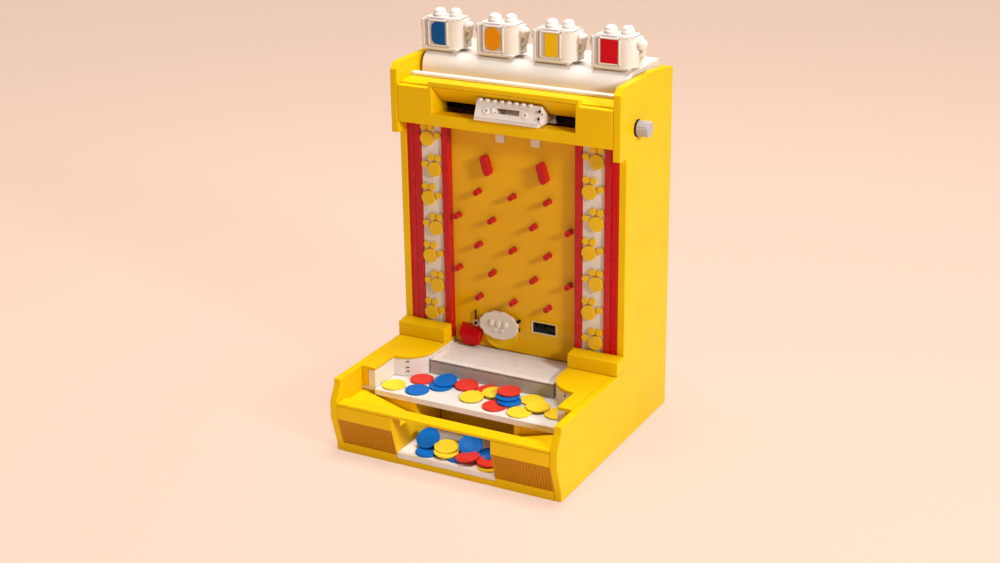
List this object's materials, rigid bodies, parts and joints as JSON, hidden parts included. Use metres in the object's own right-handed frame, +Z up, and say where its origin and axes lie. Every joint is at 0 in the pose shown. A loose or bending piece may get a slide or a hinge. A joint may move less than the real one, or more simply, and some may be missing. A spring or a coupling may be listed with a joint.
{
  "type": "coin pusher machine",
  "caption": "Tabletop coin pusher built from plastic bricks: a knob moves the coin carriage, coins fall through pegs onto a sliding pusher, and drop in a front tray.",
  "frame": {"origin": "middle of the footprint, on the surface that the machine stands on", "axes": "+Z up, front faces -Y, hand knob on the +X side"},
  "size_m": [0.27, 0.265, 0.4245],
  "materials": {
    "yellow_abs": "moulded gloss",
    "red_abs": "moulded gloss",
    "white_abs": "moulded gloss",
    "light_grey_abs": "moulded gloss",
    "grey_abs": "moulded gloss",
    "black_abs": "moulded gloss",
    "dark_grey_abs": "moulded gloss",
    "clear_polycarbonate": "clear polished"
  },
  "bodies": {
    "cabinet": {"back_panel": "yellow_abs", "base_plate": "yellow_abs", "bumper_left": "red_abs", "bumper_right": "red_abs", "chute_ramp_left": "yellow_abs", "chute_ramp_right": "yellow_abs", "coin_guides": "white_abs", "coin_table": "light_grey_abs", "deck_left": "yellow_abs", "deck_right": "yellow_abs", "deflector_wedge": "red_abs", "drive_box": "dark_grey_abs", "front_bar": "yellow_abs", "front_panel_left": "yellow_abs", "front_panel_right": "yellow_abs", "head_fascia": "yellow_abs", "head_shelf": "yellow_abs", "inner_red_strip_left": "red_abs", "inner_red_strip_right": "red_abs", "left_side_panel": "yellow_abs", "outer_red_strip_left": "red_abs", "outer_red_strip_right": "red_abs", "peg_board": "yellow_abs", "peg_row_1": "red_abs", "peg_row_2": "red_abs", "peg_row_3": "red_abs", "peg_row_4": "red_abs", "peg_row_5": "red_abs", "prize_badge": "white_abs", "prize_disc": "yellow_abs", "recess_hood": "yellow_abs", "right_side_panel": "yellow_abs", "riser_left": "yellow_abs", "riser_right": "yellow_abs", "shaft_bracket": "grey_abs", "sign_block_1": "white_abs", "sign_block_2": "white_abs", "sign_block_3": "white_abs", "sign_block_4": "white_abs", "sign_platform": "white_abs", "table_trim": "white_abs", "table_wall_left": "yellow_abs", "table_wall_right": "yellow_abs", "target_frame": "white_abs", "tile_strip_left": "white_abs", "tile_strip_right": "white_abs", "top_trim": "white_abs", "tray_back_wall": "yellow_abs", "tray_floor": "white_abs", "tray_wall_left": "yellow_abs", "tray_wall_right": "yellow_abs", "well_wall_left": "white_abs", "well_wall_right": "white_abs", "window": "clear_polycarbonate"},
    "carriage": {"coin_carriage": "white_abs"},
    "feed": {"feed_screw": "black_abs", "knob": "grey_abs"},
    "pusher": {"pusher": "light_grey_abs"},
    "pinion": {"pinion_shaft": "dark_grey_abs"}
  },
  "joints": [
    {"name": "carriage_slide", "type": "slide", "parent": "cabinet", "child": "carriage", "axis": [1, 0, 0], "range_m": [-0.046, 0.034]},
    {"name": "knob_turn", "type": "hinge", "parent": "cabinet", "child": "feed", "pos_m": [0.135, 0.04, 0.33], "axis": [1, 0, 0], "range_deg": [-766, 1036]},
    {"name": "pusher_slide", "type": "slide", "parent": "cabinet", "child": "pusher", "axis": [0, 1, 0], "range_m": [0, 0.032]},
    {"name": "pinion_turn", "type": "hinge", "parent": "cabinet", "child": "pinion", "pos_m": [0, 0.074, 0.0784], "axis": [1, 0, 0], "range_deg": [-1, 132]}
  ],
  "couplings": [
    {"joint": "knob_turn", "follows": "carriage_slide", "rad_per_m": -392.7},
    {"joint": "pinion_turn", "follows": "pusher_slide", "rad_per_m": 71.429}
  ]
}
